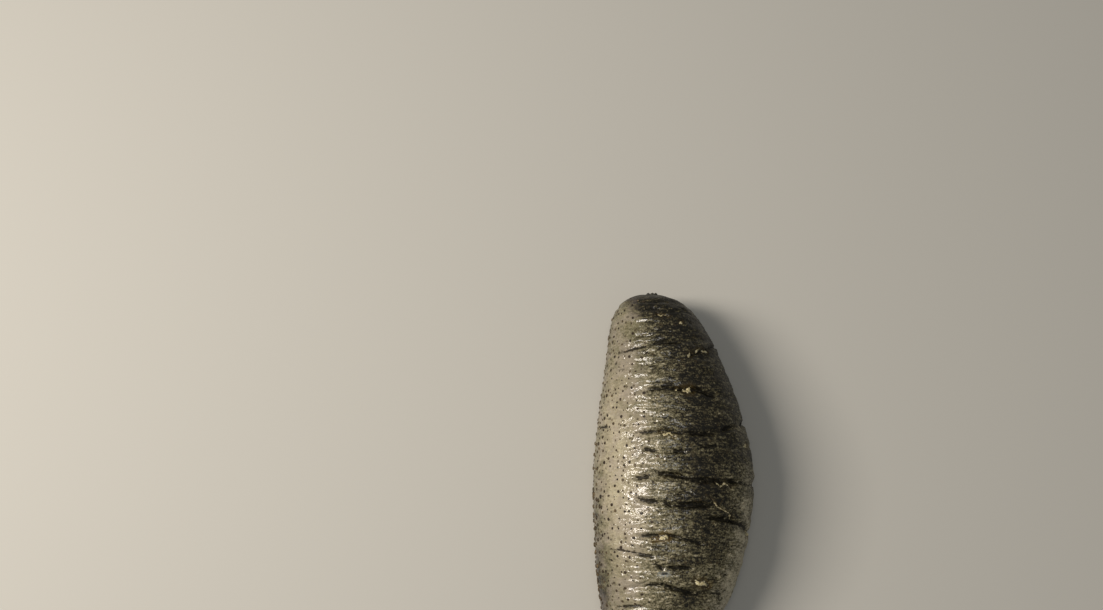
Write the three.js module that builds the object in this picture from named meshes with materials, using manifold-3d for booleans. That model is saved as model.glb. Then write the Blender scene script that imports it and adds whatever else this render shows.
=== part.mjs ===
// Sandfish, a thick-skinned sea cucumber, drawn up short and lying on its flat sole.
// Millimetres, +Z up. The mouth end points to -Y and the vent end to +Y, and the floor is z = 0.
import * as THREE from "three";
import { mergeVertices } from "three/addons/utils/BufferGeometryUtils.js";
import Module from "manifold-3d";

const wasm = await Module();
wasm.setup();

// Driving dimensions
const LENGTH = 168;
const WIDTH = 70;
const HEIGHT = 50;
const AXIS_HEIGHT = 21; // of the body's long axis over the floor, at the waist
const GAP = 0.3; // left between neighbouring pieces

// Where the two ends and the widest place are, along Y
const MOUTH_TIP = -LENGTH / 2;
const VENT_TIP = LENGTH / 2;
const WIDEST = 3;
const AXIS_BEND = -10.4; // sideways shift of both ends, which bow to the left
const AXIS_DROP = 4.5; // how much lower the axis runs at the two ends
const VENT_TAPER = { wide: 0.53, wideBend: 1.5, high: 0.38, highBend: 1.6 }; // share lost at the vent end
const VENT_BLUNTNESS = 18; // exponent of the rounded cap, higher is flatter
const SOLE_REACH = 1.35; // lower half of the section against the axis height, before the floor flattens it
const SOLE_FULLNESS = 0.7; // how soon the sole fills out behind the tips
const SOLE_EASE = 3; // height over which the flank rolls into the flat sole

// The dark back and the pale sole meet along two lines, as angles round the body: 0 right, 90 up, 180 left
const BACK_FROM = -15;
const BACK_TO = 120;
const BACK_STEPS = 18;
const SOLE_STEPS = 30;
const SEAM_STEPS = 4; // across the inner face between back and sole

// Folds across the body, mouth end first. y: where it crosses the ridge of the back. left, right: how far its
// two ends lead towards the vent. from, to: the angles that it runs between. cut: the body is parted there.
const FOLDS = [
  { y: -75, left: 0, right: 0, from: -200, to: 400, depth: 0.5 },
  { y: -68.5, left: 1, right: -0.5, from: 20, to: 170, depth: 0.7 },
  { y: -61.5, left: -1, right: 1, from: 10, to: 150, depth: 0.9 },
  { y: -53.5, left: 0, right: 0.5, from: 30, to: 138, depth: 0.9 },
  { y: -45.6, left: 1.5, right: -4, from: 15, to: 118, depth: 1.4, cut: true },
  { y: -37.2, left: 1, right: -3, from: 30, to: 110, depth: 1 },
  { y: -32.8, left: 4, right: -4, from: 95, to: 155, depth: 0.6 },
  { y: -24.8, left: 1, right: -4.5, from: 25, to: 120, depth: 1.2 },
  { y: -16.3, left: 0, right: -5, from: -5, to: 75, depth: 1 },
  { y: -11.2, left: 5, right: 0, from: 25, to: 120, depth: 1.2, cut: true },
  { y: 0.4, left: -3, right: -2.3, from: -10, to: 122, depth: 1.4 },
  { y: 10.6, left: 2, right: 5, from: 0, to: 116, depth: 0.9 },
  { y: 18.6, left: 2, right: 7.3, from: -10, to: 122, depth: 1.3, cut: true },
  { y: 28.5, left: 0, right: 2, from: 20, to: 120, depth: 0.4 },
  { y: 37.6, left: -1, right: -3, from: 20, to: 118, depth: 1.3 },
  { y: 44.5, left: -3, right: 3, from: 15, to: 80, depth: 0.8 },
  { y: 51.5, left: -5, right: 4, from: 5, to: 95, depth: 1 },
  { y: 59, left: -6.5, right: 4, from: 15, to: 142, depth: 1.3, cut: true },
  { y: 67.5, left: -2, right: 2, from: 20, to: 130, depth: 0.5 },
  { y: 73.2, left: 0, right: 1, from: 40, to: 125, depth: 0.8 },
  { y: 78, left: 0, right: 0, from: -200, to: 400, depth: 0.6 },
];
const FOLD_RAMP = 18; // degrees over which a fold fades out at its ends
const FOLD_LIP = 0.3; // share of the depth already lost at the fold's two lips
const FOLD_WAVE = 0.45; // wander of a fold along its run
const RING_SPACING = 6; // between the rings of smooth skin

// Mouth and vent: place on the skin, the angle that they face below or above level, and their own sizes
const MOUTH = { y: -76.6, z: 8.9, down: 45, radius: 6.8, cup: 4.9, depth: 6.5 };
const VENT = { y: 81.6, z: 20.5, up: 14, radius: 3.6, pit: 1.7, depth: 4 };

// Outer and inner circle of tentacles: how far root and tip stand from the mouth's middle, how far the tip
// rises over its rim, and the radius of the shield that each ends in
const TENTACLES = [
  { count: 12, root: 3, tip: 4.3, rise: 2.8, shield: 1.05 },
  { count: 8, root: 1.5, tip: 2, rise: 2.3, shield: 0.85 },
];

// Tube feet: low round buttons in staggered rows over both flanks, larger and wider apart than the real ones.
// Each row is an angle round the body. The jitters are the full range of change in place, angle and size.
const FOOT = {
  radius: 0.95,
  height: 0.55,
  sunk: 0.9,
  sides: 5,
  spacing: 9.6,
  margin: 2.6,
  jitter: 1.4,
  turnJitter: 3,
  sizeJitter: 0.3,
};
const FOOT_ROWS = [131, 144, 157, 170, 183, 196, 209, 332];

const foldWidth = (fold) => 2 + 1.4 * fold.depth;
const radians = THREE.MathUtils.degToRad;
const clamp = THREE.MathUtils.clamp;
const mix = THREE.MathUtils.lerp;

// Distance of a station from the widest place, 0 there and 1 at the tip
function reach(y) {
  const tip = y < WIDEST ? MOUTH_TIP : VENT_TIP;
  return clamp((y - WIDEST) / (tip - WIDEST), 0, 1);
}

// Half-width at a station, as a share of the widest: an ellipse in front, a blunt taper behind
function girth(y) {
  const q = reach(y);
  if (y < WIDEST) return Math.sqrt(1 - q * q);
  return (1 - VENT_TAPER.wide * q ** VENT_TAPER.wideBend) * Math.sqrt(1 - q ** VENT_BLUNTNESS);
}

// Height of the back over the axis, as a share of the highest
function arch(y) {
  const q = reach(y);
  if (y < WIDEST) return Math.sqrt(1 - q * q);
  return (1 - VENT_TAPER.high * q ** VENT_TAPER.highBend) * Math.sqrt(1 - q ** VENT_BLUNTNESS);
}

const axisX = (y) => AXIS_BEND * (y / VENT_TIP) ** 2;
const axisZ = (y) => AXIS_HEIGHT - AXIS_DROP * (y / VENT_TIP) ** 2;

// Flattens the underside onto the floor, with a rounded edge
function settle(z) {
  if (z > SOLE_EASE) return z;
  if (z < -SOLE_EASE) return 0;
  return (z + SOLE_EASE) ** 2 / (4 * SOLE_EASE);
}

// Point of the skin at a station and an angle, drawn in by a depth
function skinPoint(y, angle, inward) {
  const across = Math.cos(radians(angle));
  const up = Math.sin(radians(angle));
  const wide = (WIDTH / 2) * girth(y);
  const low = SOLE_REACH * axisZ(y) * girth(y) ** SOLE_FULLNESS;
  const high = up > 0 ? (HEIGHT - AXIS_HEIGHT) * arch(y) : low;
  const drawn = Math.min(inward, 0.3 * wide);
  return new THREE.Vector3(axisX(y) + (wide - drawn) * across, y, settle(axisZ(y) + (high - drawn) * up));
}

// Station of a fold's line at an angle round the body
function foldLine(fold, angle) {
  const across = Math.cos(radians(angle));
  const lead = (across < 0 ? fold.left : fold.right) * across * across;
  const wave = FOLD_WAVE * Math.sin(radians(5 * angle) + fold.y);
  return fold.y + lead + wave * presence(fold, angle);
}

// How much of a fold there is at an angle: 1 along its run, 0 outside
function presence(fold, angle) {
  const turn = angle > 270 ? angle - 360 : angle;
  const inside = Math.min(turn - fold.from, fold.to - turn);
  return THREE.MathUtils.smoothstep(inside, -FOLD_RAMP / 2, FOLD_RAMP / 2);
}

// Rings round the body, mouth end first: each gives a station and a depth for any angle
function makeRings() {
  const rings = [];
  const plain = (y) => ({ station: () => y, depth: () => 0 });
  const lip = (fold, side) => ({
    station: (angle) => foldLine(fold, angle) + (side * foldWidth(fold)) / 2,
    depth: (angle) => FOLD_LIP * fold.depth * presence(fold, angle),
  });
  const between = (below, above, share) => ({
    station: (angle) => mix(below.station(angle), above.station(angle), share),
    depth: () => 0,
  });
  for (const inset of [0.25, 1.1, 2.6, 4.7]) rings.push(plain(MOUTH_TIP + inset));
  FOLDS.forEach((fold, i) => {
    const start = lip(fold, -1);
    if (i > 0) {
      const last = rings.at(-1);
      const count = Math.max(1, Math.round((fold.y - FOLDS[i - 1].y) / RING_SPACING) - 1);
      for (let k = 1; k <= count; k++) rings.push(between(last, start, k / (count + 1)));
    }
    rings.push(start);
    rings.push({
      station: (angle) => foldLine(fold, angle),
      depth: (angle) => fold.depth * presence(fold, angle),
      cut: fold.cut,
    });
    rings.push(lip(fold, 1));
  });
  for (const inset of [3.4, 1.8, 0.8, 0.2]) rings.push(plain(VENT_TIP - inset));
  return rings;
}

const RINGS = makeRings();
const CUTS = RINGS.flatMap((ring, i) => (ring.cut ? [i] : []));

// Points from one angle to another along a ring, moved along Y by shift
function arc(ring, from, to, steps, shift) {
  return Array.from({ length: steps + 1 }, (_, k) => {
    const angle = mix(from, to, k / steps);
    const point = skinPoint(ring.station(angle), angle, ring.depth(angle));
    point.y += shift;
    return point;
  });
}

// Straight points between two ends, the ends left out
function chord(start, end) {
  return Array.from({ length: SEAM_STEPS - 1 }, (_, k) => start.clone().lerp(end, (k + 1) / SEAM_STEPS));
}

// Closed outlines of the back, the sole and the whole body at one ring, anticlockwise seen from the mouth end
function sections(ring, shift) {
  const back = arc(ring, BACK_FROM, BACK_TO, BACK_STEPS, shift);
  const sole = arc(ring, BACK_TO, BACK_FROM + 360, SOLE_STEPS, shift);
  const seam = chord(back.at(-1), back[0]);
  return {
    back: [...back, ...seam],
    sole: [...sole, ...[...seam].reverse()],
    whole: [...back.slice(0, -1), ...sole.slice(0, -1)],
  };
}

// Moves the inner face of the back or the sole away from the other by half the gap
function openSeam(outline, arcSteps, side) {
  const start = outline[0];
  const end = outline[arcSteps];
  const seam = side * (GAP / 2);
  const normal = new THREE.Vector3(Math.abs(end.z - start.z), 0, Math.abs(end.x - start.x)).setLength(seam);
  return outline.map((point, k) => (k === 0 || k >= arcSteps ? point.clone().add(normal) : point));
}

// Triangles are collected as loose corners, and welded once a piece is whole
class Faces {
  constructor() {
    this.corners = [];
  }

  add(a, b, c) {
    for (const p of [a, b, c]) this.corners.push(p.x, p.y, p.z);
  }

  // Wall between two outlines of like count, the first nearer the mouth
  wall(near, far) {
    near.forEach((a, k) => {
      const b = near[(k + 1) % near.length];
      const c = far[(k + 1) % far.length];
      const d = far[k];
      this.add(a, d, b);
      this.add(b, d, c);
    });
  }

  // Fan over an outline from its middle, facing the mouth or the vent
  cap(outline, facesMouth) {
    const middle = outline.reduce((sum, p) => sum.add(p), new THREE.Vector3()).divideScalar(outline.length);
    outline.forEach((a, k) => {
      const b = outline[(k + 1) % outline.length];
      if (facesMouth) this.add(middle, a, b);
      else this.add(middle, b, a);
    });
  }

  // Fan from a tip to the first or last outline
  point(tip, outline, facesMouth) {
    outline.forEach((a, k) => {
      const b = outline[(k + 1) % outline.length];
      if (facesMouth) this.add(tip, a, b);
      else this.add(tip, b, a);
    });
  }

  geometry() {
    const loose = new THREE.BufferGeometry();
    loose.setAttribute("position", new THREE.Float32BufferAttribute(this.corners, 3));
    return mergeVertices(loose, 1e-4);
  }
}

// Length of the back or of the sole between two cut rings
function bodyLength(part, first, last) {
  const faces = new Faces();
  const [steps, side] = part === "back" ? [BACK_STEPS, 1] : [SOLE_STEPS, -1];
  const outlines = [];
  for (let i = first; i <= last; i++) {
    const shift = i === first ? GAP / 2 : i === last ? -GAP / 2 : 0;
    outlines.push(openSeam(sections(RINGS[i], shift)[part], steps, side));
  }
  faces.cap(outlines[0], true);
  outlines.slice(1).forEach((outline, i) => faces.wall(outlines[i], outline));
  faces.cap(outlines.at(-1), false);
  return faces.geometry();
}

// One rounded end of the body, from its tip to a cut ring. Its inner face has the seam's points too.
function bodyEnd(atMouth) {
  const faces = new Faces();
  const cut = atMouth ? CUTS[0] : CUTS.at(-1);
  const tip = skinPoint(atMouth ? MOUTH_TIP : VENT_TIP, 90, 0);
  const face = sections(RINGS[cut], atMouth ? -GAP / 2 : GAP / 2);
  const inside = atMouth ? RINGS.slice(0, cut) : RINGS.slice(cut + 1);
  const outlines = inside.map((ring) => sections(ring, 0).whole);
  if (atMouth) {
    faces.point(tip, outlines[0], true);
    outlines.push(face.whole);
  } else {
    outlines.unshift(face.whole);
    faces.point(tip, outlines.at(-1), false);
  }
  outlines.slice(1).forEach((outline, i) => faces.wall(outlines[i], outline));
  faces.cap(face.back, !atMouth);
  faces.cap(face.sole, !atMouth);
  return faces.geometry();
}

// Geometry to solid and back, for cutting and joining
function solidOf(geometry) {
  const bare = geometry.clone();
  bare.deleteAttribute("normal");
  bare.deleteAttribute("uv");
  const closed = mergeVertices(bare, 1e-4);
  const vertProperties = closed.attributes.position.array;
  const triVerts = Uint32Array.from(closed.index.array);
  return new wasm.Manifold(new wasm.Mesh({ numProp: 3, vertProperties, triVerts }));
}

function geometryOf(solid) {
  const mesh = solid.getMesh();
  const geometry = new THREE.BufferGeometry();
  geometry.setAttribute("position", new THREE.BufferAttribute(mesh.vertProperties, 3));
  geometry.setIndex(new THREE.BufferAttribute(mesh.triVerts, 1));
  return geometry;
}

// Keeps the largest closed surface of a solid
function largest(solid) {
  return solid.decompose().sort((a, b) => b.volume() - a.volume())[0];
}

// Turned shape from a profile of [radius, height] pairs that starts and ends on the axis
function turned(profile, sides) {
  return new THREE.LatheGeometry(
    profile.map(([r, h]) => new THREE.Vector2(r, h)),
    sides,
  );
}

// Even pseudo-random numbers from 0 to 1, the same on every run
let seed = 7;
function random() {
  seed = (seed * 16807) % 2147483647;
  return seed / 2147483647;
}

// Outward direction of the skin, across its slopes along and round the body
function skinNormal(y, angle) {
  const along = skinPoint(y + 0.1, angle, 0).sub(skinPoint(y - 0.1, angle, 0));
  const around = skinPoint(y, angle + 0.2, 0).sub(skinPoint(y, angle - 0.2, 0));
  return along.cross(around).normalize();
}

// One tube foot, standing on the skin at a station and an angle
function tubeFoot(y, angle, scale) {
  const { radius, height, sunk, sides } = FOOT;
  const up = new THREE.Vector3(0, 1, 0);
  const turn = new THREE.Quaternion().setFromUnitVectors(up, skinNormal(y, angle));
  const foot = turned([[0, -sunk], [radius, -sunk], [radius * 0.75, height], [0, height]], sides);
  const place = skinPoint(y, angle, 0);
  return solidOf(foot.scale(scale, 1, scale).applyQuaternion(turn).translate(place.x, place.y, place.z));
}

// Joins tube feet to a piece of the body that lies between two lines, each a station for any angle
function addFeet(geometry, start, end) {
  const { spacing, margin, jitter, turnJitter, sizeJitter } = FOOT;
  const vary = (range) => (random() - 0.5) * range;
  let solid = solidOf(geometry);
  FOOT_ROWS.forEach((row, i) => {
    const first = start(row) + margin + (i % 2) * (spacing / 2);
    const last = end(row) - margin;
    for (let y = first; y <= last; y += spacing) {
      const place = Math.min(y + vary(jitter), last);
      solid = solid.add(tubeFoot(place, row + vary(turnJitter), 1 + vary(sizeJitter)));
    }
  });
  return geometryOf(largest(solid));
}

// Places of the mouth and the vent on the skin, each with its local +Y outwards
function placed(y, z, tilt) {
  const turn = new THREE.Matrix4().makeRotationX(tilt);
  return new THREE.Matrix4().makeTranslation(axisX(y), y, z).multiply(turn);
}
const MOUTH_PLACE = placed(MOUTH.y, MOUTH.z, Math.PI + radians(MOUTH.down));
const VENT_PLACE = placed(VENT.y, VENT.z, radians(VENT.up));

// Round socket in which the mouth or the vent sits
function socket(place, radius, depth) {
  const open = 12;
  const bore = turned([[0, -depth], [radius, -depth], [radius, open], [0, open]], 32);
  return solidOf(bore.applyMatrix4(place));
}

// Rounded rim of skin round the mouth, a cup that holds the tentacles
function mouthLip() {
  const { radius, cup, depth } = MOUTH;
  const floor = 2 - depth;
  const profile = [[0, -depth], [radius, -depth], [radius, 0.4], [radius - 0.5, 1.2]];
  profile.push([radius - 1.2, 1.4], [cup + 0.2, 0.8], [cup, -0.4], [cup - 0.4, floor], [0, floor]);
  return turned(profile, 32).applyMatrix4(MOUTH_PLACE);
}

// Crown of short tentacles with shield-shaped tips, half drawn in
function tentacleCrown() {
  const floor = 2 - MOUTH.depth + GAP;
  const rim = MOUTH.cup - 0.7;
  let crown = solidOf(turned([[0, floor], [rim, floor], [rim, floor + 0.9], [0, floor + 1.2]], 24));
  for (const row of TENTACLES) {
    for (let k = 0; k < row.count; k++) {
      const foot = new THREE.Vector3(row.root, floor + 0.4, 0);
      const head = new THREE.Vector3(row.tip, row.rise, 0);
      const length = foot.distanceTo(head);
      const stalk = [[0, 0], [0.55, 0], [0.45, length - 0.9], [row.shield, length - 0.3]];
      stalk.push([row.shield * 0.8, length + 0.15], [0, length + 0.3]);
      const lean = new THREE.Quaternion().setFromUnitVectors(
        new THREE.Vector3(0, 1, 0),
        head.clone().sub(foot).normalize(),
      );
      const tentacle = turned(stalk, 7).applyQuaternion(lean).translate(foot.x, foot.y, foot.z);
      crown = crown.add(solidOf(tentacle.rotateY((2 * Math.PI * (k + 0.5)) / row.count)));
    }
  }
  return geometryOf(largest(crown)).applyMatrix4(MOUTH_PLACE);
}

// Ring of skin round the vent, with five groups of three small papillae
function ventRing() {
  const { radius, pit, depth } = VENT;
  const profile = [[0, -depth], [radius, -depth], [radius, 0.1], [radius - 0.5, 0.5], [pit + 0.5, 0.5]];
  profile.push([pit, 0], [pit - 0.5, 1 - depth], [0, 1 - depth]);
  let ring = solidOf(turned(profile, 30));
  const papilla = [[0, -0.6], [0.5, -0.6], [0.38, 0.8], [0, 1.3]];
  for (let group = 0; group < 5; group++) {
    for (const offset of [-14, 0, 14]) {
      const cone = turned(papilla, 5).translate((radius + pit) / 2, 0, 0);
      ring = ring.add(solidOf(cone.rotateY(radians(72 * group + offset))));
    }
  }
  return geometryOf(largest(ring)).applyMatrix4(VENT_PLACE);
}

// Colours of the wet animal: dark green-brown back, buff sole with the flanks, near-black ends
const FINISH = {
  back: { color: "#464234", roughness: 0.38 },
  sole: { color: "#a2967a", roughness: 0.42 },
  ends: { color: "#57503d", roughness: 0.4 },
  lip: { color: "#6d6450", roughness: 0.4 },
  tentacle: { color: "#8f8467", roughness: 0.45 },
  vent: { color: "#2c271b", roughness: 0.4 },
};

const animal = new THREE.Group();
function addPiece(name, geometry, finish) {
  const mesh = new THREE.Mesh(geometry, new THREE.MeshStandardMaterial({ ...FINISH[finish], metalness: 0 }));
  mesh.name = name;
  animal.add(mesh);
}

const cutLine = (i) => RINGS[CUTS[i]].station;
const mouthSocket = socket(MOUTH_PLACE, MOUTH.radius + GAP, MOUTH.depth + GAP);
const ventSocket = socket(VENT_PLACE, VENT.radius + GAP, VENT.depth + GAP);
const head = addFeet(bodyEnd(true), () => MOUTH_TIP + 15, cutLine(0));
const tail = addFeet(bodyEnd(false), cutLine(3), () => VENT_TIP - 6);
addPiece("head_end", geometryOf(largest(solidOf(head).subtract(mouthSocket))), "ends");
addPiece("mouth_lip", mouthLip(), "lip");
addPiece("tentacle_crown", tentacleCrown(), "tentacle");
["front", "middle", "rear"].forEach((place, i) => {
  const sole = addFeet(bodyLength("sole", CUTS[i], CUTS[i + 1]), cutLine(i), cutLine(i + 1));
  addPiece(`back_${place}`, bodyLength("back", CUTS[i], CUTS[i + 1]), "back");
  addPiece(`sole_${place}`, sole, "sole");
});
addPiece("tail_end", geometryOf(largest(solidOf(tail).subtract(ventSocket))), "ends");
addPiece("vent_ring", ventRing(), "vent");

export default animal;
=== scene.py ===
from itertools import product

import bpy
import numpy as np
from mathutils import Matrix, Vector


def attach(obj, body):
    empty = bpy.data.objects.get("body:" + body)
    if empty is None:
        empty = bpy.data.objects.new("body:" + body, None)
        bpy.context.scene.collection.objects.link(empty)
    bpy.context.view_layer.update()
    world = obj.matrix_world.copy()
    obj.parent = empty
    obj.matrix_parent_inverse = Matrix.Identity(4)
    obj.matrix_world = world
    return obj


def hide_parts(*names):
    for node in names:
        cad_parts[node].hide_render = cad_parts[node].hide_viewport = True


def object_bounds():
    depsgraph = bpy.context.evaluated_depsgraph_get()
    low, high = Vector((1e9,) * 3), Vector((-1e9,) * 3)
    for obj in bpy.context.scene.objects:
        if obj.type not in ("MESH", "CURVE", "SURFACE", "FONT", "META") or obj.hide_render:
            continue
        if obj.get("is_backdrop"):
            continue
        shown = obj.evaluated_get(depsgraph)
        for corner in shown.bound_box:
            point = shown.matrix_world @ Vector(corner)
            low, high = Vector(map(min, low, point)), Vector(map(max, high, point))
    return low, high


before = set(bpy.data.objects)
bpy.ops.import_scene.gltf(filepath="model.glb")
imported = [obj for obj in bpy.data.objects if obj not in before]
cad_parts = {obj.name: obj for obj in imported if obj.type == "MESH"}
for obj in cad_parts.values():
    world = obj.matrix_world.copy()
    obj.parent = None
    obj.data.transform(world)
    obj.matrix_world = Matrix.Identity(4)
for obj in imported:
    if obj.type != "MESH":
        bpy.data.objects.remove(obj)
cad_low, cad_high = (np.array(corner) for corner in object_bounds())

# Body form. The sandfish has drawn itself up into a short, plump loaf with a flat sole. It is one thick
# muscular wall, so its girth, arch and bend are smooth functions of the station along it, in millimetres.
MM = 0.001
WIDTH, _, HEIGHT = (cad_high - cad_low) / MM
MOUTH_TIP, VENT_TIP, WIDEST = cad_low[1] / MM, cad_high[1] / MM, 3.0
AXIS_HEIGHT, AXIS_DROP, AXIS_BEND = 0.42 * HEIGHT, 4.5, -10.4
GIRTH_TAPER, GIRTH_BEND = 0.53, 1.5
ARCH_TAPER, ARCH_BEND = 0.38, 1.6
SOLE_REACH, SOLE_FULLNESS, SOLE_EASE = 1.35, 0.7, 3.0


def smoothstep(low, high, value):
    """0 below low, 1 above high, with an S-shaped ramp between."""
    t = np.clip((value - low) / (high - low), 0, 1)
    return t * t * (3 - 2 * t)


def thickness(y, taper, bend):
    """Share of the widest girth: sqrt(1 - q^2) in front, a blunt power taper with a rounded cap behind."""
    q_front = np.clip((WIDEST - y) / (WIDEST - MOUTH_TIP), 0, 1)
    q_rear = np.clip((y - WIDEST) / (VENT_TIP - WIDEST), 0, 1)
    rear = (1 - taper * q_rear**bend) * np.sqrt(1 - q_rear**18)
    return np.where(y < WIDEST, np.sqrt(1 - q_front**2), rear)


def axis(y):
    """Sideways place and height of the body's axis, both parabolas along the station."""
    share = (y / VENT_TIP) ** 2
    return AXIS_BEND * share, AXIS_HEIGHT - AXIS_DROP * share


def body(y, angle):
    """Half ellipses above and below the axis at each station, the lower one rolled flat onto the floor."""
    girth = thickness(y, GIRTH_TAPER, GIRTH_BEND)
    arch = (HEIGHT - AXIS_HEIGHT) * thickness(y, ARCH_TAPER, ARCH_BEND)
    axis_x, axis_z = axis(y)
    low = SOLE_REACH * axis_z * girth**SOLE_FULLNESS
    up = np.sin(angle)
    z = axis_z + np.where(up > 0, arch, low) * up
    eased = (np.clip(z, -SOLE_EASE, SOLE_EASE) + SOLE_EASE) ** 2 / (4 * SOLE_EASE)
    z = np.where(z > SOLE_EASE, z, eased)
    return np.stack([axis_x + WIDTH / 2 * girth * np.cos(angle), y + 0 * angle, z], axis=-1)


def tangents(y, angle):
    """Unit vectors round the body, along it and outwards, from small steps on its surface."""
    step = 0.02
    y = np.clip(y, MOUTH_TIP + 2 * step, VENT_TIP - 2 * step)
    around = body(y, angle + step) - body(y, angle - step)
    along = body(y + step, angle) - body(y - step, angle)
    out = np.cross(along, around)
    return [v / np.maximum(np.linalg.norm(v, axis=-1, keepdims=True), 1e-9) for v in (around, along, out)]


# Skin relief. The wall is leathery and finely granular. Deep folds run across the back where it has drawn
# up, with many short creases between them, and some folds have cracked open down to the cream flesh.

# Each fold: station on the ridge of the back, lead of its left and right end, angles it runs between, depth
FOLDS = [
    (-75, 0, 0, -200, 400, 0.5),
    (-68.5, 1, -0.5, 20, 170, 0.7),
    (-61.5, -1, 1, 10, 150, 0.9),
    (-53.5, 0, 0.5, 30, 138, 0.9),
    (-45.6, 1.5, -4, 15, 118, 1.4),
    (-37.2, 1, -3, 30, 110, 1.0),
    (-32.8, 4, -4, 95, 155, 0.6),
    (-24.8, 1, -4.5, 25, 120, 1.2),
    (-16.3, 0, -5, -5, 75, 1.0),
    (-11.2, 5, 0, 25, 120, 1.2),
    (0.4, -3, -2.3, -10, 122, 1.4),
    (10.6, 2, 5, 0, 116, 0.9),
    (18.6, 2, 7.3, -10, 122, 1.3),
    (28.5, 0, 2, 20, 120, 0.4),
    (37.6, -1, -3, 20, 118, 1.3),
    (44.5, -3, 3, 15, 80, 0.8),
    (51.5, -5, 4, 5, 95, 1.0),
    (59, -6.5, 4, 15, 142, 1.3),
    (67.5, -2, 2, 20, 130, 0.5),
    (73.2, 0, 1, 40, 125, 0.8),
    (78, 0, 0, -200, 400, 0.6),
]
# Each black slit in a fold: place to the right of the middle and along the body, half-length, half-width,
# slant in degrees, from right to rising
SLITS = [
    (-19.0, 55.6, 5.5, 0.55, 9),
    (-5.5, 58.3, 6.0, 0.55, 6),
    (9.0, 54.2, 5.0, 0.45, 26),
    (17.0, 59.0, 4.0, 0.50, 30),
    (-8.5, 37.4, 4.0, 0.50, 4),
    (2.5, 37.6, 6.0, 0.80, 2),
    (11.5, 36.4, 4.0, 0.60, -22),
    (-13.0, 18.6, 4.2, 0.55, 6),
    (-4.0, 18.9, 4.6, 0.50, -9),
    (8.7, 18.5, 5.4, 0.80, 2),
    (21.7, 21.8, 3.2, 0.60, 20),
    (30.5, 25.2, 2.3, 0.60, 26),
    (-12.8, 11.4, 2.5, 0.45, -10),
    (-0.5, 10.4, 2.6, 0.60, 2),
    (11.8, 12.9, 3.4, 0.50, 10),
    (-15.6, -0.4, 2.7, 0.65, 4),
    (-5.0, 1.0, 5.0, 0.85, -4),
    (6.0, -0.5, 6.0, 0.75, -8),
    (16.0, -1.4, 5.2, 0.55, -5),
    (27.0, -1.3, 5.5, 0.65, -2),
    (-12.7, -9.6, 4.4, 0.50, -9),
    (-4.8, -11.4, 2.0, 0.60, -32),
    (5.2, -11.4, 8.0, 0.60, 1),
    (17.5, -16.7, 5.2, 0.70, -5),
    (27.5, -19.2, 4.4, 0.85, -22),
    (-12.0, -24.0, 4.0, 0.55, 12),
    (-3.0, -23.9, 2.6, 0.60, -16),
    (4.2, -26.4, 5.2, 0.60, -14),
    (-21.5, -31.2, 3.8, 0.35, -9),
    (-14.5, -32.2, 3.4, 0.40, -6),
    (-8.0, -37.0, 1.8, 0.60, -38),
    (0.5, -37.2, 4.0, 0.65, -3),
    (-9.5, -44.2, 3.2, 0.50, 8),
    (-4.3, -44.8, 2.7, 0.75, -28),
    (2.5, -46.9, 4.4, 0.70, -12),
    (-19.6, -53.5, 4.2, 0.45, 3),
    (-31.5, 22.0, 1.8, 0.40, -7),
]
# Each crack down to the cream flesh, in the same terms, then how far it zigzags and how ochre it is
CRACKS = [
    (-6.3, 70.9, 2.2, 0.45, -4, 0.3, 0.3),
    (1.9, 68.3, 0.9, 0.45, 10, 0.0, 0.2),
    (5.4, 53.2, 1.3, 0.65, 40, 0.3, 0.3),
    (8.6, 55.2, 1.0, 0.60, 30, 0.0, 0.3),
    (12.4, 55.6, 1.3, 0.50, -10, 0.3, 0.2),
    (3.9, 37.2, 2.3, 1.15, 4, 0.3, 0.35),
    (-1.2, 37.5, 0.7, 0.60, 0, 0.0, 0.4),
    (-5.4, 17.9, 2.9, 0.60, -8, 0.7, 0.5),
    (18.7, -2.6, 3.6, 0.50, -5, 0.9, 0.2),
    (18.4, -12.8, 6.4, 0.36, -38, 0.3, 0.1),
    (-6.6, -24.9, 2.2, 0.95, 14, 0.2, 1.0),
    (-10.8, -26.0, 0.9, 0.55, 30, 0.0, 1.0),
    (9.7, -43.2, 2.9, 1.00, -13, 0.3, 0.4),
    (30.6, 15.0, 0.9, 0.55, 60, 0.0, 0.5),
    (31.5, -22.5, 1.2, 0.70, 60, 0.0, 0.5),
]
# One healed scar, grey with a dark middle, in the same terms
SCAR = (-6.1, -39.6, 3.0, 1.7, 5)
# What a mark's mask holds far outside it, and how many short creases there are
OUTSIDE, CREASE_COUNT = -9.0, 240


def noise(points, size, seed, across=1.0):
    """Gradient noise from -1 to 1: hashed slopes at the corners of a lattice of one size, mixed smoothly.
    An across below 1 stretches it across the body, the way that the folds lie."""
    scaled = points * np.array([across, 1, across]) / size
    cell = np.floor(scaled).astype(np.int64)
    inside = scaled - cell
    ease = inside**3 * (inside * (inside * 6 - 15) + 10)
    total = 0
    for corner in product((0, 1), repeat=3):
        at = cell + np.array(corner)
        code = (at[..., 0] * 73856093) ^ (at[..., 1] * 19349663) ^ (at[..., 2] * 83492791) ^ (seed * 40503)
        code = ((code ^ (code >> 13)) * 1274126177) & 0xFFFFFFFF
        code = code ^ (code >> 16)
        slope = np.stack([(code >> shift & 255) / 127.5 - 1 for shift in (0, 8, 16)], axis=-1)
        weight = np.where(np.array(corner) == 1, ease, 1 - ease).prod(axis=-1)
        total = total + weight * (slope * (inside - np.array(corner))).sum(axis=-1)
    return total


def turn_of(angle):
    """Degrees round the body: 0 at the right flank, 90 on the ridge, 180 at the left flank, 270 below."""
    return np.mod(np.degrees(angle) + 90, 360) - 90


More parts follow.
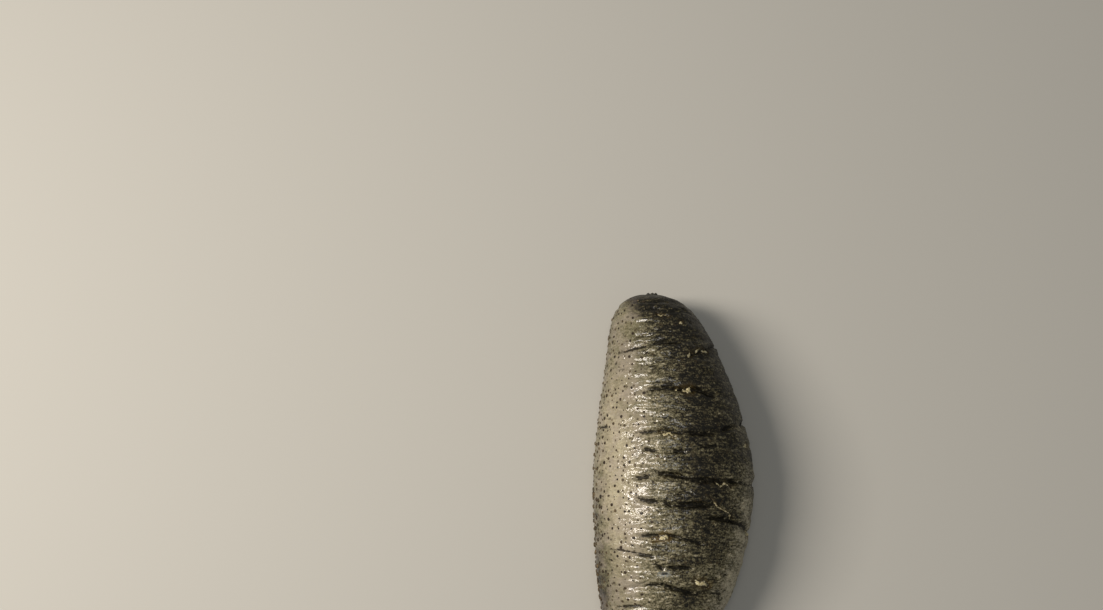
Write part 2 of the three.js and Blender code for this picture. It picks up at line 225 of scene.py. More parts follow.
def folds(y, angle, wander, ragged, broken):
    """Height and blackness of the folds. Each is a groove between two low swells, exp(-g^2) less a wider
    one, along a wavering line across the back."""
    turn, across = turn_of(angle), np.cos(angle)
    height, black = np.zeros_like(turn), np.zeros_like(turn)
    for station, left, right, start, end, depth in FOLDS:
        presence = smoothstep(-9, 9, np.minimum(turn - start, end - turn))
        lead = np.where(across < 0, left, right) * across**2
        line = station + lead + 0.45 * np.sin(5 * angle + station) * presence + 0.8 * wander
        gap = (y - line) / (0.75 + 0.45 * depth)
        groove = np.exp(-(gap**2)) - 0.35 * np.exp(-((gap / 2.4) ** 2))
        height -= depth * presence * np.clip(broken, 0.25, 1.2) * groove
        line_mark = np.exp(-((gap / 0.6 + 0.6 * ragged) ** 2)) * smoothstep(0.7, 1.1, broken)
        black = np.maximum(black, 0.75 * presence * np.clip(depth, 0.4, 1) * line_mark)
    return height, black


def short_creases(y, angle, wander, ragged):
    """Height and blackness of seeded short creases over the back, grooves exp(-s^2) that fade at both ends.
    Each has its own station, angle, half-length, width, depth and slant."""
    rng = np.random.default_rng(11)
    creases = zip(
        rng.uniform(-80, 78, CREASE_COUNT),
        np.radians(rng.normal(74, 30, CREASE_COUNT)),
        rng.uniform(1.2, 4.5, CREASE_COUNT),
        rng.uniform(0.4, 0.8, CREASE_COUNT),
        rng.uniform(0.15, 0.5, CREASE_COUNT),
        rng.normal(0, 0.18, CREASE_COUNT),
    )
    height, black = np.zeros_like(wander), np.zeros_like(wander)
    for station, middle, half_length, width, depth, slant in creases:
        along = (angle - middle) * WIDTH / 2 * 0.9
        side = (y - station - slant * along + 0.6 * wander) / width
        fade = np.exp(-((along / half_length) ** 2) * 1.2)
        height -= depth * fade * np.exp(-(side**2))
        black = np.maximum(black, 1.5 * depth * fade * np.exp(-((side / 0.8 + 0.4 * ragged) ** 2)))
    return height, black


def patch(place, spot, waver, zigzag=0.0):
    """1 - sqrt(u^4 + v^2), where u runs along a slanted streak and v across it, as shares of its half sizes.
    It is 1 in the middle of the streak, 0 at its blunt, wavering edge and less outside."""
    x, station, half_length, half_width, slant = spot
    tilt = np.radians(slant)
    dx, dy = place[..., 0] - x, place[..., 1] - station + waver
    u = (dx * np.cos(tilt) + dy * np.sin(tilt)) / half_length
    v = (dy * np.cos(tilt) - dx * np.sin(tilt) - zigzag * np.sin(1.5 * np.pi * u)) / half_width
    return 1 - np.sqrt(u**4 + v**2)


def slits(place, wander, ragged, broken):
    """Height and blackness of the slits, each a sunk patch with a soft dark edge round a ragged black core.
    The soft edge is partly the skin's own dark and partly painted shade.
    """
    height, black = np.zeros_like(wander), np.zeros_like(wander)
    for slit in SLITS:
        half_width = slit[3]
        inside = patch(place, slit, 1.5 * wander)
        height -= 1.5 * half_width * smoothstep(-1.2, 0.5, inside)
        # The soft edge: partly the skin's own dark round the slit, partly painted shade over the sunk patch
        edge = 0.4 * smoothstep(-2.6, -0.2, inside + 0.8 * ragged)
        core = 0.8 * smoothstep(-0.5, 0.5, inside + 1.3 * ragged + 0.6 * (broken - 0.9))
        black = np.maximum(black, edge + core)
    return height, black


def cracks(place, wander, ragged):
    """Height of the cracks, sunk but filled with flesh, how far inside one a point is, and its stain."""
    height, stain, flesh = np.zeros_like(wander), np.zeros_like(wander), np.full_like(wander, OUTSIDE)
    for *crack, zigzag, ochre in CRACKS:
        inside = patch(place, crack, 0.9 * wander + 0.7 * ragged, zigzag)
        height += -0.8 * smoothstep(-1.4, 0.0, inside) + 0.9 * smoothstep(0.0, 0.6, inside)
        flesh = np.maximum(flesh, inside)
        stain = np.maximum(stain, ochre * smoothstep(-2.6, -0.3, inside + 0.8 * wander))
    return height, flesh, stain


def relief(y, angle):
    """Height of the real skin over the smooth body, with masks for the marks in it. It adds up the folds,
    creases, slits, cracks and a leathery grain, all of which die away towards the floor."""
    place = body(y, angle)
    # How lines wander, how ragged edges are and where folds are broken, each in its own rhythm
    wander = noise(place, 3.1, 3, across=0.22)
    ragged = noise(place, 1.6, 4) + 0.5 * noise(place, 0.9, 10)
    broken = 0.75 + 0.9 * noise(place, 7.0, 5)
    fold_height, fold_black = folds(y, angle, wander, ragged, broken)
    crease_height, crease_black = short_creases(y, angle, wander, ragged)
    slit_height, slit_black = slits(place, wander, ragged, broken)
    crack_height, flesh, stain = cracks(place, wander, ragged)
    scar = patch(place, SCAR, 1.5 * ragged)
    scar_black = 1.4 * smoothstep(0.6, 0.9, patch(place, SCAR, 0))
    # Slits, cracks and the scar are placed as seen from above, so they count only on the upper half
    on_top = np.sin(angle) > 0
    marks_height = np.where(on_top, slit_height + crack_height, 0)
    marks_black = np.where(on_top, np.maximum(slit_black, scar_black), 0)
    flesh, scar = np.where(on_top, flesh, OUTSIDE), np.where(on_top, scar, OUTSIDE)
    # The leathery grain is stronger over the back
    turn = turn_of(angle)
    back = smoothstep(150, 105, turn) * smoothstep(-35, 5, turn)
    leather = (0.10 + 0.22 * back) * noise(place, 1.25, 6, across=0.3)
    leather += (0.14 + 0.36 * back) * noise(place, 2.9, 7, across=0.3)
    leather += 0.12 * noise(place, 1.3, 8) + 0.5 * noise(place, 13, 9)
    off_floor = smoothstep(0.5, 6, place[..., 2])
    height = (fold_height + crease_height + marks_height + leather) * off_floor
    crease = np.maximum(np.maximum(fold_black, crease_black), marks_black) * off_floor
    return height, {"crease": crease, "flesh": flesh, "stain": np.where(on_top, stain, 0), "scar": scar}


def pigment_and_shade(y, angle):
    """Masks for the colour: darkness, 0 on the buff sole to about 1 on the back, the skin's own colour with
    painted shade in places, pepper, where granules darken it, and wet, where water lies on it. All are
    products of smooth ramps, frayed by noise."""
    turn = turn_of(angle)
    place = body(y, angle)
    shift = 9 * noise(place, 11, 21) + 10 * noise(place, 4, 22)
    bars = noise(place, 3.4, 24, across=0.3)
    # The dark of the back fades out over the left shoulder and ends low on the right flank
    dark = smoothstep(140 + shift, 68 + shift, turn) * smoothstep(-28, -8, turn + 0.8 * shift + 14 * bars)
    # Towards the mouth end its right margin is paler, in blotches, and all of it a little
    front = smoothstep(42, -32, y + 1.5 * shift)
    margin = (0.34 * smoothstep(68, 38, turn) + 0.42 * smoothstep(46, 28, turn)) * front
    margin = margin * (1 + 1.4 * noise(place, 6.5, 26)) + 0.14 * smoothstep(-14, -44, y)
    margin = margin * smoothstep(-78, -54, y)
    # The skin darkens again towards the vent: its own dark round the vent, with painted shade at the tip.
    # Painted shade darkens it low on the left flank, and towards both ends it is darker, partly in its own
    # tone and partly by painted shade.
    from_vent = np.hypot(place[..., 0] - axis(VENT_TIP)[0], place[..., 1] - VENT_TIP)
    tail = 0.16 * smoothstep(36, 66, y) + 0.8 * smoothstep(17, 6, from_vent + shift / 6)
    low = smoothstep(210, 166, turn)
    rise = smoothstep(136, 162, turn + shift / 3) * front * smoothstep(-74, -50, y)
    edge = np.clip((0.2 * smoothstep(152, 176, turn) + 0.7 * rise) * low * (0.9 + 0.8 * bars), 0, 1)
    ends = 0.26 * smoothstep(8, 52, y) + 0.3 * smoothstep(-14, -46, y)
    # Clouds and bars mottle the back, and a darker band runs just right of its ridge, partly its own dark
    # and partly painted shade.
    ridge = np.exp(-(((turn - 72) / 13) ** 2)) * smoothstep(-40, 0, y) * smoothstep(60, 40, y)
    clouds = dark * (0.34 * noise(place, 8.5, 25) + 0.22 * bars + 0.16 * ridge)
    darkness = np.clip(np.maximum(dark - margin, edge) + clouds + tail + ends * (1 - dark), 0, 1.2)
    pepper = np.clip(smoothstep(0.1, 0.5, dark) + 0.5 * edge + 0.8 * tail, 0, 1)
    # Water has drained from the right side of the back and from the skin round the vent
    wet = 1 - 0.5 * smoothstep(88, 44, turn) - 0.4 * smoothstep(20, 6, from_vent)
    return {"pigment_and_shade": darkness, "pepper": pepper, "wet": wet}


# Mouth and vent. The mouth is a round, lipped pit under the front end, and the vent a small puckered one at
# the tip of the tail. Both are sunk into the skin itself, so their rims have no seam.
MOUTH = dict(y=-76.6, z=8.9, aim=np.radians(225), radius=6.3, depth=5.6, rim=1.1, folds=26, pleat=0.4)
VENT = dict(y=81.6, z=20.5, aim=np.radians(14), radius=1.9, depth=3.2, rim=0.7, folds=10, pleat=0.5)


def opening_frame(opening):
    """Centre, outward axis and two cross axes of an opening. An aim of 0 faces tailwards, one of 90 up."""
    centre = np.array([axis(opening["y"])[0], opening["y"], opening["z"]])
    out = np.array([0, np.cos(opening["aim"]), np.sin(opening["aim"])])
    side = np.array([1.0, 0, 0])
    return centre, out, side, np.cross(out, side)


def sink(points, opening):
    """Sinks a smooth pit in the skin along an opening's axis, with a bell-shaped rim round it. Both follow
    the distance from the axis, puckered by a sine, and the same sine pleats the rim."""
    centre, out, side, other = opening_frame(opening)
    offset = points - centre
    depth = offset @ out
    ring = np.hypot(offset @ side, offset @ other)
    turn = np.arctan2(offset @ other, offset @ side)
    near = depth > -opening["radius"]
    pucker = np.sin(opening["folds"] * turn + 2 * np.sin(3 * turn))
    share = ring / (opening["radius"] * (1 + 0.09 * pucker))
    pit = opening["depth"] * smoothstep(1.02, 0.62, share)
    rim = opening["rim"] * np.exp(-(((share - 1.12) / 0.22) ** 2))
    pleat_fade = smoothstep(0.9, 1.15, share) * np.exp(-(((share - 1.2) / 0.6) ** 2))
    pleats = opening["pleat"] * (0.5 + 0.5 * pucker) * pleat_fade
    rise = np.where(near, rim - pit - pleats, 0)
    return points + rise[..., None] * out, np.where(near, smoothstep(1.1, 0.8, share), 0)


# Skin. One skin covers the whole animal, from the mouth end to the vent end. It is a tube of rings round
# the body, closed at each tip, and its vertices carry the masks that the colours follow.
RINGS, BACK_COLUMNS, SOLE_COLUMNS = 384, 206, 52
SOLE_LIFT = 0.2  # the flat sole clears the floor by the height of its pressed tube feet


def skin(y, angle):
    """Place of the finished skin: the smooth body, moved outwards by its relief, with both openings sunk.
    With it come the masks that the colours follow."""
    height, masks = relief(y, angle)
    points = body(y, angle) + height[..., None] * tangents(y, angle)[2]
    points, mouth = sink(points, MOUTH)
    points, vent = sink(points, VENT)
    points[..., 2] = np.maximum(points[..., 2], SOLE_LIFT)
    masks["opening"] = np.maximum(mouth, vent)
    masks.update(pigment_and_shade(y, angle))
    return points, masks


def mesh_object(name, points, faces, smooth=True):
    """New object from points in millimetres and faces, all placed in the mesh."""
    mesh = bpy.data.meshes.new(name)
    mesh.from_pydata((points * MM).tolist(), [], faces)
    mesh.polygons.foreach_set("use_smooth", np.full(len(mesh.polygons), smooth))
    mesh.update()
    obj = bpy.data.objects.new(name, mesh)
    bpy.context.collection.objects.link(obj)
    return obj


def tube_faces(rings, sides):
    """Quads between rings of points, each ring closed on itself."""
    ring, side = np.meshgrid(np.arange(rings - 1), np.arange(sides), indexing="ij")
    here, beside = ring * sides + side, ring * sides + (side + 1) % sides
    return np.stack([here, here + sides, beside + sides, beside], axis=-1).reshape(-1, 4)


def stations(count):
    """Stations from tip to tip, spaced evenly along the ridge or the flank, by the longer at each step."""
    y = MOUTH_TIP + (VENT_TIP - MOUTH_TIP) * (1 - np.cos(np.linspace(0, np.pi, 20001))) / 2
    ridge, flank = (body(y, np.full_like(y, angle)) for angle in (np.pi / 2, np.pi))
    ridge_steps, flank_steps = (np.linalg.norm(np.diff(line, axis=0), axis=1) for line in (ridge, flank))
    travel = np.concatenate([[0], np.cumsum(np.maximum(ridge_steps, flank_steps))])
    return np.interp(np.linspace(0, travel[-1], count + 2)[1:-1], travel, y)


def skin_mesh():
    """Rings of points at each station, closer together over the back, with a fan of faces to each tip."""
    back = np.linspace(-35, 215, BACK_COLUMNS, endpoint=False)
    sole = np.linspace(215, 325, SOLE_COLUMNS, endpoint=False)
    columns = np.radians(np.concatenate([back, sole]))
    points, masks = skin(*np.meshgrid(stations(RINGS), columns, indexing="ij"))
    tips, tip_masks = skin(np.array([MOUTH_TIP, VENT_TIP]), np.full(2, np.pi / 2))
    sides = len(columns)
    around = np.arange(sides)
    beside = (around + 1) % sides
    last_ring = (RINGS - 1) * sides
    mouth_tip, vent_tip = np.full(sides, RINGS * sides), np.full(sides, RINGS * sides + 1)
    faces = tube_faces(RINGS, sides).tolist()
    faces += np.stack([mouth_tip, around, beside], axis=1).tolist()
    faces += np.stack([vent_tip, last_ring + beside, last_ring + around], axis=1).tolist()
    piece = mesh_object("skin", np.concatenate([points.reshape(-1, 3), tips]), faces)
    for name, values in masks.items():
        attribute = piece.data.attributes.new(name, "FLOAT", "POINT")
        attribute.data.foreach_set("value", np.concatenate([values.ravel(), tip_masks[name]]))
    return piece


# Hide. The animal's own skin is dull leather, packed with dark granules over the back and plain buff below.
# Sea water clings to it in a thin, rippled film, which is the clear coat here and gives all the glints.
MASKS = ("crease", "flesh", "stain", "scar", "opening", "pigment_and_shade", "pepper", "wet")


def linear(hex_colour):
    """Linear colour with alpha from an sRGB hex value."""
    channels = [int(hex_colour[i : i + 2], 16) / 255 for i in (1, 3, 5)]
    return [c / 12.92 if c <= 0.04045 else ((c + 0.055) / 1.055) ** 2.4 for c in channels] + [1]


def scale_for(size):
    """Scale of a pattern on Object coordinates whose grain is a size in millimetres."""
    return 1 / (size * MM)


def new_material(name):
    """Empty node material with its shader, and the tree to add to."""
    material = bpy.data.materials.new(name)
    material.use_nodes = True
    return material, material.node_tree, material.node_tree.nodes["Principled BSDF"]


def wire(node, **links):
    """Fills sockets, each given by its name, or by i and its number among those in use, with a plain value,
    a hex colour, a socket, or a node, which stands for its first output in use."""
    in_use = [socket for socket in node.inputs if socket.enabled]
    for key, value in links.items():
        socket = in_use[int(key[1:])] if key[1:].isdigit() else node.inputs[key.replace("_", " ")]
        if isinstance(value, bpy.types.Node):
            value = next(output for output in value.outputs if output.enabled)
        if isinstance(value, bpy.types.NodeSocket):
            node.id_data.links.new(value, socket)
        else:
            socket.default_value = linear(value) if isinstance(value, str) else value


def add(tree, kind, settings=None, stops=(), **links):
    """New node with its settings, the stops of its colour ramp if it is one, and its links."""
    node = tree.nodes.new("ShaderNode" + kind)
    for key, value in (settings or {}).items():
        setattr(node, key, value)
    for number, (position, colour) in enumerate(stops):
        elements = node.color_ramp.elements
        element = elements[number] if number < len(elements) else elements.new(position)
        element.position = position
        element.color = linear(colour)
    wire(node, **links)
    return node


def weighted_sum(tree, total, *terms):
    """A starting total plus terms, each a socket or node times its weight."""
    for value, weight in terms:
        total = add(tree, "Math", {"operation": "MULTIPLY_ADD"}, i0=value, i1=weight, i2=total)
    return total


def wet_hide():
    """Sandfish hide, wet from the sea: pepper-and-salt with granules, black in its folds, cream where it
    has cracked, and dull but for the glints on the water."""
    material, tree, shader = new_material("wet_sandfish_hide")
    times = {"operation": "MULTIPLY"}
    smooth = {"interpolation_type": "SMOOTHSTEP"}
    place = add(tree, "TexCoord").outputs["Object"]
    along_folds = add(tree, "Mapping", Vector=place, Scale=(0.36, 1, 0.36))
    mask = {name: add(tree, "Attribute", {"attribute_name": name}).outputs["Fac"] for name in MASKS}

    # Real granules and threads of wrinkle are 0.2 to 0.4 mm across, drawn about twice as coarse to show
    granule = add(tree, "TexVoronoi", Vector=place, Scale=scale_for(0.8))
    shade = add(tree, "SeparateColor", Color=granule.outputs["Color"])
    fleck = add(tree, "TexNoise", Vector=place, Scale=scale_for(0.6), Detail=2, Roughness=0.6)
    thread = add(tree, "TexNoise", Vector=along_folds, Scale=scale_for(0.85), Detail=2, Roughness=0.6)
    blotch = add(tree, "TexNoise", Vector=place, Scale=scale_for(3.6), Detail=4, Roughness=0.65)
    speckle = weighted_sum(tree, -1.61, (shade, 0.32), (fleck, 1.4), (thread, 1.5))
    graininess = weighted_sum(tree, 0.26, (mask["pepper"], 0.74))
    # The darkness mask carries painted shade on the left flank, at both ends, the tail's tip and the ridge
    tone = weighted_sum(tree, -0.15, (mask["pigment_and_shade"], 0.8), (blotch, 0.5), (speckle, graininess))
    hide_stops = [(0, "#b4ab90"), (0.25, "#918870"), (0.5, "#6b664d"), (0.75, "#443e2a"), (1, "#14120a")]
    colour = add(tree, "ValToRGB", stops=hide_stops, i0=tone)

    # A grey-pink bloom in clouds where there is little pepper, and brown specks of many sizes everywhere
    cloud = add(tree, "TexNoise", Vector=place, Scale=scale_for(8), Detail=3, Roughness=0.6)
    bloom = add(tree, "MapRange", smooth, Value=cloud, From_Min=0.4, From_Max=0.65)
    bloom = add(tree, "Math", times, i0=bloom, i1=weighted_sum(tree, 1, (mask["pepper"], -1)))
    cell = add(tree, "TexVoronoi", Vector=place, Scale=scale_for(2.3))
    reach = add(tree, "SeparateColor", Color=cell.outputs["Color"]).outputs["Green"]
    speck = weighted_sum(tree, 0, (reach, 0.3), (cell, -1))
    speck = add(tree, "MapRange", smooth, Value=speck, From_Min=-0.04, From_Max=0.08)

    # Marks in the skin, each with its edge frayed by the granules
    scar = weighted_sum(tree, 0, (mask["scar"], 1), (speckle, 1))
    scar = add(tree, "MapRange", smooth, Value=scar, From_Min=0, From_Max=0.7)
    stain = add(tree, "Math", times, i0=mask["stain"], i1=weighted_sum(tree, 0.9, (speckle, 1)))
    rim = weighted_sum(tree, 0, (mask["flesh"], 1), (speckle, 1))
    rim = add(tree, "MapRange", smooth, Value=rim, From_Min=-1.1, From_Max=0)
    # Round the slits, the crease mask's soft edge is partly painted shade
    slit = weighted_sum(tree, 0, (mask["crease"], 1), (speckle, 0.6))
    slit = add(tree, "MapRange", smooth, Value=slit, From_Min=0.15, From_Max=0.95)
    flesh = weighted_sum(tree, 0, (mask["flesh"], 1), (speckle, 1.1))
    flesh = add(tree, "MapRange", smooth, Value=flesh, From_Min=0, From_Max=0.3)
    cream = add(tree, "ValToRGB", stops=[(0.3, "#8f8154"), (0.48, "#c0b387"), (0.65, "#ddd3b0")], i0=fleck)

    # Layers of colour, one over the other: what each follows, its strength and its colour
    for share, strength, over in (
        (bloom, 0.4, "#a0948a"),
        (speck, 0.7, "#3d321c"),
        (scar, 0.75, "#989b95"),
        (stain, 1, "#5e4c20"),
        (rim, 0.9, "#241a08"),
        (slit, 0.9, "#0c0a05"),
        (flesh, 1, cream),
        (mask["opening"], 0.8, "#2a2416"),
    ):
        share = add(tree, "Math", times, i0=share, i1=strength)
        colour = add(tree, "Mix", {"data_type": "RGBA"}, i0=share, i1=colour, i2=over)

    # The film of water ripples along the folds and dimples over the granules, in places more than others
    ripple = add(tree, "TexNoise", Vector=along_folds, Scale=scale_for(2.9), Detail=1, Roughness=0.5)
    dimple = add(tree, "TexNoise", Vector=place, Scale=scale_for(1.8), Detail=1, Roughness=0.5)
    unrest = add(tree, "TexNoise", Vector=place, Scale=scale_for(5), Detail=1, Roughness=0.5)
    unrest = add(tree, "MapRange", smooth, Value=unrest, From_Min=0.15, From_Max=0.55)
    water = weighted_sum(tree, 0, (ripple, 1), (dimple, 0.35), (granule, -0.09))
    film = add(tree, "Bump", Height=water, Strength=unrest, Distance=1.0 * MM)
    grain = weighted_sum(tree, 0, (granule, -0.5), (fleck, 0.6), (thread, 1))
    bump = add(tree, "Bump", Height=grain, Strength=0.9, Distance=0.4 * MM)
    coat = add(tree, "Math", times, i0=weighted_sum(tree, 0.5, (slit, -0.4)), i1=mask["wet"])
    wire(shader, Base_Color=colour, Normal=bump, Coat_Normal=film, Coat_Weight=coat)
    # The film's IOR is above water's 1.33, so that at half weight its glints are as bright as in the photo
    wire(shader, Roughness=0.6, Specular_IOR_Level=0.1, Coat_Roughness=0.16, Coat_IOR=1.7)
    wire(shader, Subsurface_Weight=0.05, Subsurface_Radius=(1.0, 0.7, 0.4), Subsurface_Scale=1.0 * MM)
    return material


skin_piece = skin_mesh()
skin_piece.data.materials.append(wet_hide())
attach(skin_piece, "root")
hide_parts("head_end", "back_front", "back_middle", "back_rear", "sole_front", "sole_middle",
            "sole_rear", "tail_end", "mouth_lip", "vent_ring")


# Tube feet. Hundreds of small suckered feet stand over the sole and flanks. Drawn in, each is a low brown
# button about a millimetre across, with a paler sucker disc on the sole. They are joined to one mesh.
# Rows run round the body, spaced in millimetres along it, and the feet in a row are spaced in degrees
ROW_SPACING, FEET_IN_ROW, FOOT_SIDES = 3.4, 44, 8
FIRST_FOOT_TURN, FOOT_TURN_STEP = 100, 5.9
LEAST_GAP, MOUTH_CLEARANCE = 1.7, 10


def turned(foot, stem, side, radius, height, sides):
    """Rings of a profile turned about a stem: foot + r (cos t side + sin t stem x side) + h stem.
    The radius may differ round each ring."""
    turn = np.linspace(0, 2 * np.pi, sides, endpoint=False)[:, None]
    circle = np.cos(turn) * side + np.sin(turn) * np.cross(stem, side)
    return (foot + radius[..., None] * circle + height[:, None, None] * stem).reshape(-1, 3)


def capped_faces(rings, sides):
    """Faces of a form turned from a profile: quads between its rings, and a fan to one last point."""
    here = (rings - 1) * sides + np.arange(sides)
    beside = np.roll(here, -1)
    fan = np.stack([here, beside, np.full(sides, rings * sides)], axis=1)
    return tube_faces(rings, sides)[:, ::-1].tolist() + fan.tolist()


def many(name, forms, faces):
    """One object of many like forms, each with its own points and all with the same faces."""
    step = len(forms[0])
    all_faces = [[corner + step * k for corner in face] for k in range(len(forms)) for face in faces]
    return mesh_object(name, np.concatenate(forms), all_faces)


def tube_feet():
    """Buttons turned from one profile, each set on the skin at its own station, angle and size."""
    rng = np.random.default_rng(5)
    rows = np.arange(MOUTH_TIP + 4, VENT_TIP - 3, ROW_SPACING)
    y, column = np.meshgrid(rows, np.arange(FEET_IN_ROW), indexing="ij")
    staggered = column + 0.5 * (np.arange(len(rows))[:, None] % 2)
    angle = np.radians(FIRST_FOOT_TURN + FOOT_TURN_STEP * staggered)
    y = (y + rng.uniform(-1.5, 1.5, y.shape)).ravel()
    angle = (angle + rng.uniform(-0.05, 0.05, angle.shape)).ravel()
    # Fewer stand on the upper flank and towards both tips, and none crowd each other or stand in the mouth
    turn = np.degrees(angle)
    girth = thickness(y, GIRTH_TAPER, GIRTH_BEND)
    chance = np.clip(girth * 1.15, 0, 1) * np.where(turn < 128, smoothstep(96, 128, turn), 1)
    kept = (rng.uniform(size=y.shape) < chance) & (turn < 352)
    y, angle = y[kept], angle[kept]
    centre, marks = skin(y, angle)
    apart = np.linalg.norm(centre[:, None] - centre, axis=2)
    crowded = (np.tril(apart < LEAST_GAP, -1) & (apart > 0)).any(axis=1)
    off_mouth = np.linalg.norm(centre - opening_frame(MOUTH)[0], axis=1) > MOUTH_CLEARANCE
    kept = (marks["opening"] < 0.02) & off_mouth & ~crowded
    y, angle, centre = y[kept], angle[kept], centre[kept]
    # Those low on the flank and under the sole are larger, and under the sole they stand further out
    turn = np.degrees(angle)
    low = smoothstep(146, 160, turn) * (0.25 + 0.25 * smoothstep(30, -20, y))
    size = ((0.52 + 0.72 * rng.uniform(size=len(y)) ** 1.4) * (1 + low))[:, None, None]
    oval = 1 + rng.uniform(-0.2, 0.2, (len(y), 1, 1))
    sole = smoothstep(150, 195, turn)
    lift = (1 + 1.6 * sole)[:, None, None]
    around, along, out = (direction[:, None] for direction in tangents(y, angle))
    width, rise = np.array([(0.62, -0.12), (0.56, 0.05), (0.36, 0.13), (0.12, 0.07)]).T
    east, _, up = np.eye(3)
    button = turned(0, up, east, width[:, None], rise, FOOT_SIDES)
    button = np.concatenate([button, 0.05 * up[None]])
    u, v, w = (button[None, :, k, None] for k in range(3))
    points = centre[:, None] + size * (oval * u * around + v * along + lift * w * out)
    points[..., 2] = np.maximum(points[..., 2], 0)
    joined = many("tube_feet", points, capped_faces(len(width), FOOT_SIDES))
    disc = np.repeat([0, 0.1, 0.8, 1, 1], [FOOT_SIDES] * len(width) + [1])
    attribute = joined.data.attributes.new("disc", "FLOAT", "POINT")
    attribute.data.foreach_set("value", (sole[:, None] * disc).ravel())
    return joined


def foot_skin():
    """Tube-foot buttons: soft, clouded, dark brown skin, smoother and less wet than the hide round them,
    with a paler sucker disc at the middle of each one on the sole."""
    material, tree, shader = new_material("tube_foot_brown")
    place = add(tree, "TexCoord").outputs["Object"]
    cloud = add(tree, "TexNoise", Vector=place, Scale=scale_for(3), Detail=2)
    brown = add(tree, "ValToRGB", stops=[(0.35, "#171008"), (0.52, "#2e2315"), (0.7, "#61523a")], i0=cloud)
    disc = add(tree, "Attribute", {"attribute_name": "disc"}).outputs["Fac"]
    share = weighted_sum(tree, 0, (disc, 0.75))
    colour = add(tree, "Mix", {"data_type": "RGBA"}, i0=share, i1=brown, i2="#7d6a45")
    wire(shader, Base_Color=colour, Roughness=0.55, Specular_IOR_Level=0.2)
    wire(shader, Coat_Weight=0.12, Coat_Roughness=0.2)
    return material


feet = tube_feet()
feet.data.materials.append(foot_skin())
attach(feet, "root")


# Tentacles. A crown of twenty short feeding tentacles stands in the mouth, half drawn in. Each is a fleshy
# stalk that ends in a shield with a scalloped rim.
# Roots lie inside the mouth, so their place out along its axis is below 0
TENTACLE_SIDES, TENTACLE_ROOT = 30, -4.4
# Each circle: how many, how far their roots and tips stand from the mouth's axis, and how far the tips rise
TENTACLE_CIRCLES = [(12, 3.2, 4.6, 2.6), (8, 1.5, 2.1, 2.2)]


def unit(vector):
    """The same direction, one long."""
    return vector / np.linalg.norm(vector)


def tentacles():
    """Stalks and shields turned from one profile, in two circles about the mouth's axis."""
    centre, out, side, other = opening_frame(MOUTH)
    rng = np.random.default_rng(8)
    turn = np.linspace(0, 2 * np.pi, TENTACLE_SIDES, endpoint=False)
    # Radius, and share of the way from root to tip
    stalk = [(0.62, 0.0), (0.55, 0.35), (0.5, 0.6), (0.62, 0.74)]
    shield = [(1.15, 0.86), (1.3, 0.93), (1.1, 1.0), (0.5, 0.97), (0.1, 0.93)]
    width, share = np.array(stalk + shield).T
    forms = []
    for count, root, tip, rise in TENTACLE_CIRCLES:
        for k in range(count):
            about = 2 * np.pi * (k + 0.5) / count + rng.uniform(-0.06, 0.06)
            spoke = np.cos(about) * side + np.sin(about) * other
            foot = centre + root * spoke + TENTACLE_ROOT * out
            head = centre + (tip + rng.uniform(-0.15, 0.15)) * spoke + (rise + rng.uniform(-0.3, 0.3)) * out
            length = np.linalg.norm(head - foot)
            stem = unit(head - foot)
            beside = unit(np.cross(stem, np.cross(spoke, out)))
            lobes = 0.17 * np.cos(7 * turn + rng.uniform(0, 6))
            lobes += 0.06 * np.cos(15 * turn + rng.uniform(0, 6))
            scallop = 1 + lobes * (width[:, None] > 0.9)
            radius = width[:, None] * scallop * rng.uniform(0.9, 1.08)
            rings = turned(foot, stem, beside, radius, share * length, TENTACLE_SIDES)
            forms.append(np.concatenate([rings, head[None] - 0.45 * stem]))
    return many("tentacles", forms, capped_faces(len(width), TENTACLE_SIDES))


def tentacle_skin():
    """Tentacle flesh: thin, wet and slightly clear, yellow-grey with brown flecks."""
    material, tree, shader = new_material("tentacle_flesh")
    place = add(tree, "TexCoord").outputs["Object"]
    fleck = add(tree, "TexNoise", Vector=place, Scale=scale_for(0.9), Detail=3)
    colour = add(tree, "ValToRGB", stops=[(0.35, "#3d3424"), (0.5, "#7a6f55"), (0.68, "#a3987a")], i0=fleck)
    wire(shader, Base_Color=colour, Roughness=0.35, Coat_Weight=0.6, Coat_Roughness=0.12)
    wire(shader, Subsurface_Weight=0.25, Subsurface_Scale=0.8 * MM)
    return material


crown = tentacles()
crown.data.materials.append(tentacle_skin())
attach(crown, "root")
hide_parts("tentacle_crown")


# Vent papillae. Five groups of small soft cones stand round the vent, three to a group. They are near
# black, like the skin there, with paler tips, and lean in over the hole.
# Radius of the circle that they stand on, and how far out from the vent's centre it lies
PAPILLA_SIDES, PAPILLA_CIRCLE, PAPILLA_LIFT = 10, 2.3, 2.2


def papillae():
    """Cones turned from one profile and tilted in over the vent, three to a group."""
    centre, out, side, other = opening_frame(VENT)
    rng = np.random.default_rng(21)
    # Radius and height, as shares of a papilla's size
    profile = [(0.48, -0.6), (0.46, 0.0), (0.42, 0.35), (0.33, 0.65), (0.2, 0.9), (0.08, 1.0)]
    width, rise = np.array(profile).T
    forms = []
    for group, member in product(range(5), (-1, 0, 1)):
        about = 2 * np.pi * group / 5 + 0.3 * member + rng.uniform(-0.05, 0.05)
        spoke = np.cos(about) * side + np.sin(about) * other
        foot = centre + (PAPILLA_CIRCLE - 0.2 * abs(member)) * spoke + PAPILLA_LIFT * out
        stem = unit(out - (0.5 + rng.uniform(-0.1, 0.1)) * spoke)
        beside = unit(np.cross(stem, np.cross(spoke, out)))
        size = rng.uniform(0.85, 1.15) * (1.0 if member == 0 else 0.8)
        rings = turned(foot, stem, beside, size * width[:, None], size * rise, PAPILLA_SIDES)
        forms.append(np.concatenate([rings, foot[None] + size * 1.04 * stem]))
    return many("vent_papillae", forms, capped_faces(len(width), PAPILLA_SIDES))


